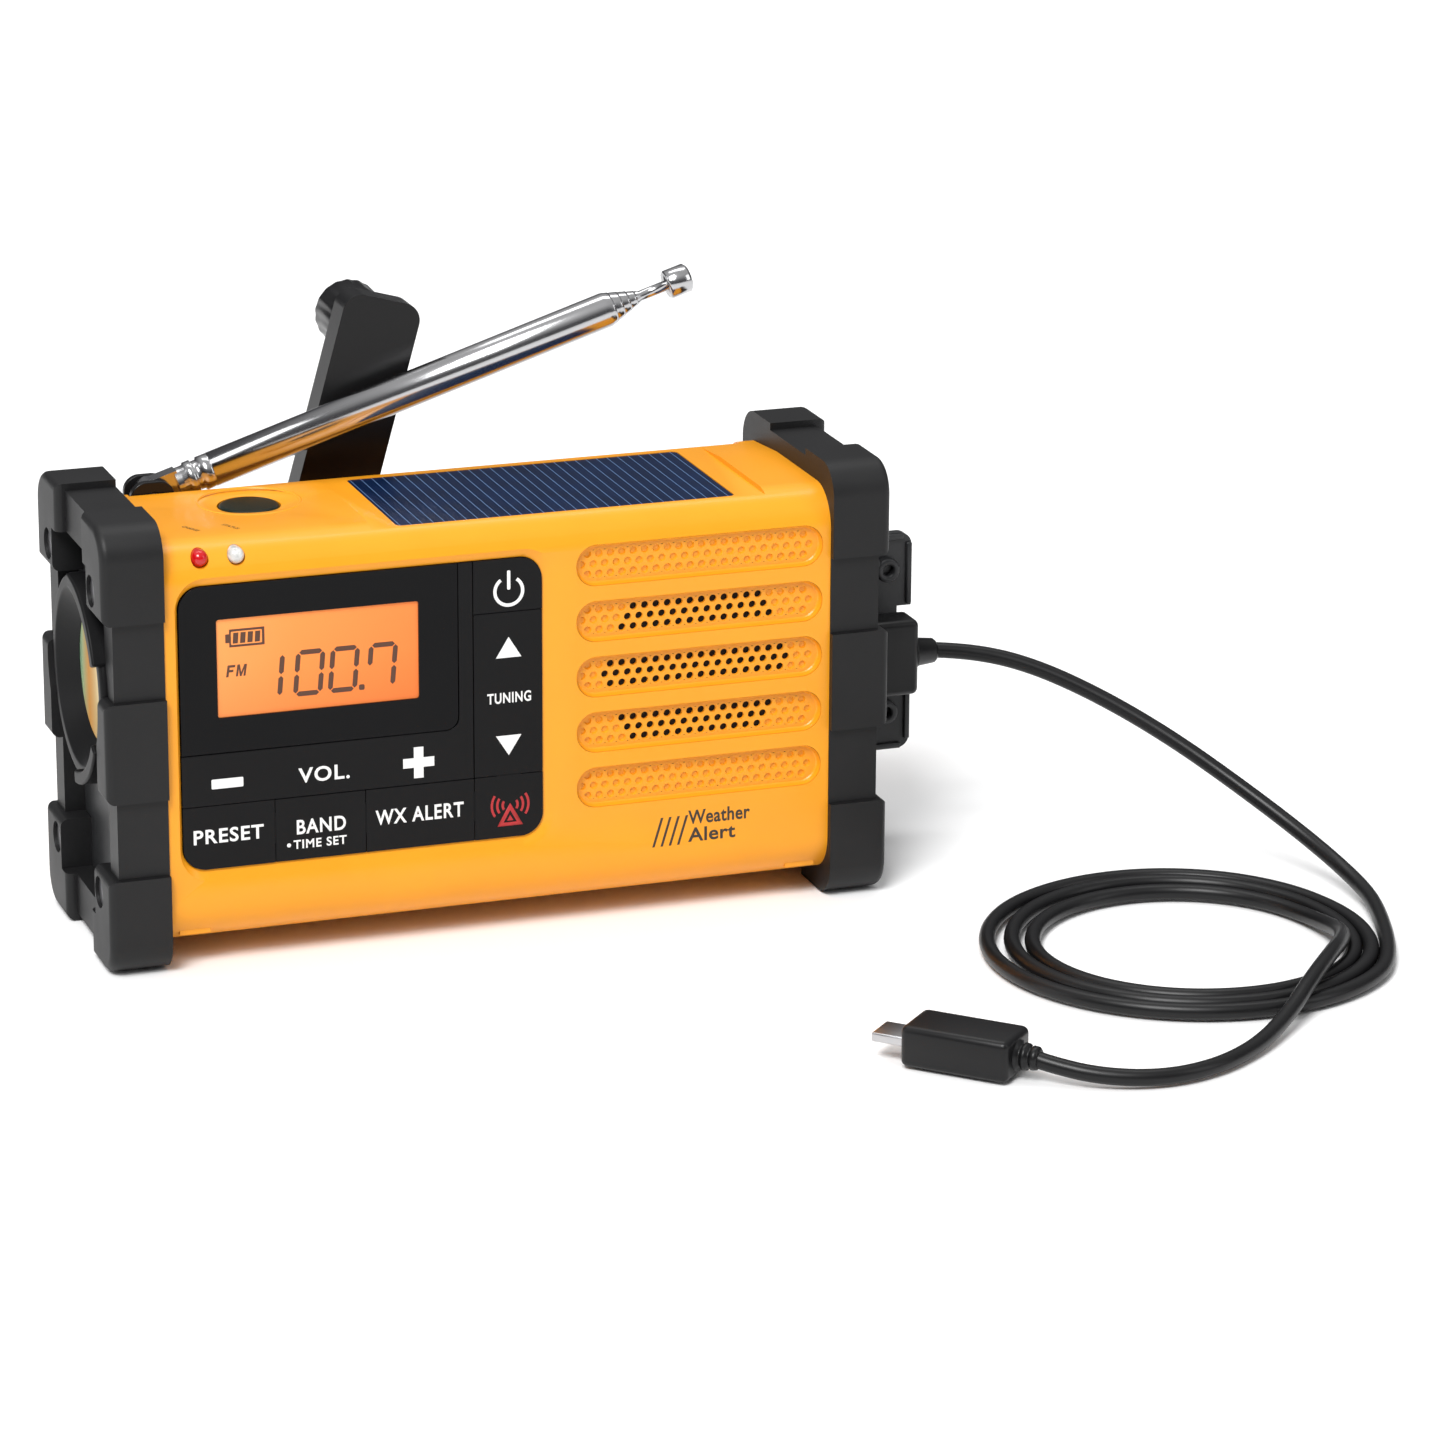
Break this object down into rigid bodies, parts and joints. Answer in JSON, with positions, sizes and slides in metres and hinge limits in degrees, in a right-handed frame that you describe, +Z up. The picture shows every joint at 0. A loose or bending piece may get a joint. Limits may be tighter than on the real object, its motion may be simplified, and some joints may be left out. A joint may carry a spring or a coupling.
{
  "type": "portable radio",
  "caption": "Hand-crank and solar emergency radio in a yellow case with rubber end bumpers, telescopic antenna, end flashlight, lit display and charging cable.",
  "frame": {"origin": "centre of the footprint, on the plane of the four rubber feet", "axes": "+Z up, the front faces -Y, +X to the viewer's right"},
  "size_m": [0.2453, 0.192, 0.1188],
  "materials": {
    "case_yellow": "satin moulded plastic",
    "rubber": "matte moulded rubber",
    "black_plastic": "satin black plastic",
    "key_black": "smooth black plastic with white legends",
    "window_black": "gloss black window",
    "lcd": "orange backlit display",
    "chrome": "bright plated tube",
    "steel": "plain steel",
    "black_steel": "black zinc screws",
    "brass": "plain brass",
    "red_lamp": "tinted clear",
    "clear_lamp": "water clear",
    "lens": "clear, amber and green reflections",
    "reflector": "metallised",
    "solar": "dark blue cell under clear resin",
    "board_green": "solder mask",
    "ferrite": "sintered, with enamelled winding",
    "battery_blue": "shrink sleeve",
    "paper_cone": "pressed paper",
    "cable": "soft black sheath",
    "button_green": "dark green, slightly clear"
  },
  "bodies": {
    "case": {"front_shell": "case_yellow", "rear_shell": "case_yellow", "case_screws": "black_steel", "left_end_panel": "black_plastic", "right_end_panel": "black_plastic", "left_bumper": "rubber", "right_bumper": "rubber", "bumper_screws": "black_steel", "display_window": "window_black", "keypad_base": "black_plastic", "lcd_module": "lcd", "charge_led": "red_lamp", "status_led": "clear_lamp", "speaker_grille": "case_yellow", "speaker_frame": "steel", "speaker_cone": "paper_cone", "solar_panel": "solar", "flashlight_bezel": "black_plastic", "flashlight_lens": "lens", "flashlight_reflector": "reflector", "flashlight_led": "clear_lamp", "circuit_boards": "board_green", "ferrite_antenna": "ferrite", "battery_pack": "battery_blue", "usb_socket": "steel", "charge_inlet": "steel", "headphone_jack": "black_plastic", "antenna_mount": "black_plastic", "antenna_pin": "steel", "gearbox_plate": "steel", "dynamo": "steel", "usb_plug": "cable", "charging_cable": "cable", "cable_tail": "cable", "cable_coil": "cable", "charge_plug": "cable"},
    "volume_rocker": {"volume_key": "key_black"},
    "tuning_rocker": {"tuning_key": "key_black"},
    "power_button": {"power_key": "key_black"},
    "alert_button": {"alert_key": "key_black"},
    "preset_button": {"preset_key": "key_black"},
    "band_button": {"band_key": "key_black"},
    "weather_button": {"weather_key": "key_black"},
    "torch_button": {"light_button": "button_green"},
    "battery_door": {"battery_cover": "case_yellow"},
    "flap": {"port_flap": "rubber"},
    "mast": {"antenna_knuckle": "chrome", "antenna_tube": "chrome"},
    "mast_two": {"antenna_section_two": "chrome"},
    "mast_three": {"antenna_section_three": "chrome"},
    "mast_four": {"antenna_section_four": "chrome"},
    "mast_tip": {"antenna_tip": "chrome"},
    "crank": {"crank_hub": "black_plastic", "crank_hinge_pin": "steel", "crank_gear": "black_plastic"},
    "arm": {"crank_arm": "black_plastic", "knob_screw": "steel"},
    "knob": {"crank_knob": "black_plastic"},
    "idler": {"idler_gear": "brass"},
    "pinion": {"dynamo_pinion": "brass"}
  },
  "joints": [
    {"name": "power_key_press", "type": "slide", "parent": "case", "child": "power_button", "axis": [0, 1, 0], "range_m": [0, 0.0006], "stiffness_N_per_m": 900},
    {"name": "alert_key_press", "type": "slide", "parent": "case", "child": "alert_button", "axis": [0, 1, 0], "range_m": [0, 0.0006], "stiffness_N_per_m": 900},
    {"name": "preset_key_press", "type": "slide", "parent": "case", "child": "preset_button", "axis": [0, 1, 0], "range_m": [0, 0.0006], "stiffness_N_per_m": 900},
    {"name": "band_key_press", "type": "slide", "parent": "case", "child": "band_button", "axis": [0, 1, 0], "range_m": [0, 0.0006], "stiffness_N_per_m": 900},
    {"name": "weather_key_press", "type": "slide", "parent": "case", "child": "weather_button", "axis": [0, 1, 0], "range_m": [0, 0.0006], "stiffness_N_per_m": 900},
    {"name": "volume_key_rock", "type": "hinge", "parent": "case", "child": "volume_rocker", "pos_m": [-0.0348, -0.0224, 0.037], "axis": [0, 0, 1], "range_deg": [-0.9, 0.9], "stiffness_Nm_per_rad": 1},
    {"name": "tuning_key_rock", "type": "hinge", "parent": "case", "child": "tuning_rocker", "pos_m": [0.0011, -0.0224, 0.04845], "axis": [1, 0, 0], "range_deg": [-1.5, 1.5], "stiffness_Nm_per_rad": 1},
    {"name": "light_button_press", "type": "slide", "parent": "case", "child": "torch_button", "axis": [0, 0, -1], "range_m": [0, 0.0008], "stiffness_N_per_m": 900},
    {"name": "battery_cover_lift", "type": "slide", "parent": "case", "child": "battery_door", "axis": [0, 1, 0], "range_m": [0, 0.003]},
    {"name": "port_flap_bend", "type": "hinge", "parent": "case", "child": "flap", "pos_m": [0.0755, 0.0125, 0.04], "axis": [0, 0, 1], "range_deg": [-10, 20]},
    {"name": "antenna_tilt", "type": "hinge", "parent": "case", "child": "mast", "pos_m": [-0.057, 0.022, 0.0811], "axis": [0, -1, 0], "range_deg": [-17.5, 90]},
    {"name": "antenna_extend_two", "type": "slide", "parent": "mast", "child": "mast_two", "axis": [0.9532, 0, 0.3024], "range_m": [0, 0.055]},
    {"name": "antenna_extend_three", "type": "slide", "parent": "mast_two", "child": "mast_three", "axis": [0.9532, 0, 0.3024], "range_m": [0, 0.055]},
    {"name": "antenna_extend_four", "type": "slide", "parent": "mast_three", "child": "mast_four", "axis": [0.9532, 0, 0.3024], "range_m": [0, 0.055]},
    {"name": "antenna_extend_tip", "type": "slide", "parent": "mast_four", "child": "mast_tip", "axis": [0.9532, 0, 0.3024], "range_m": [0, 0.055]},
    {"name": "crank_spin", "type": "hinge", "parent": "case", "child": "crank", "pos_m": [-0.027, 0.03125, 0.044], "axis": [0, 1, 0], "continuous": true},
    {"name": "crank_fold", "type": "hinge", "parent": "crank", "child": "arm", "pos_m": [-0.027, 0.03125, 0.044], "axis": [0.9627, 0, -0.2706], "range_deg": [-150, 0]},
    {"name": "knob_spin", "type": "hinge", "parent": "arm", "child": "knob", "pos_m": [-0.00914, 0.03125, 0.10754], "axis": [0, 1, 0], "continuous": true},
    {"name": "idler_spin", "type": "hinge", "parent": "case", "child": "idler", "pos_m": [0.00006, 0.014, 0.03415], "axis": [0, 1, 0], "continuous": true},
    {"name": "pinion_spin", "type": "hinge", "parent": "case", "child": "pinion", "pos_m": [0.00898, 0.014, 0.02612], "axis": [0, 1, 0], "continuous": true}
  ],
  "couplings": [
    {"joint": "antenna_extend_three", "follows": "antenna_extend_two", "ratio": 1},
    {"joint": "antenna_extend_four", "follows": "antenna_extend_two", "ratio": 1},
    {"joint": "antenna_extend_tip", "follows": "antenna_extend_two", "ratio": 1},
    {"joint": "idler_spin", "follows": "crank_spin", "ratio": -3},
    {"joint": "pinion_spin", "follows": "crank_spin", "ratio": 4.5}
  ]
}
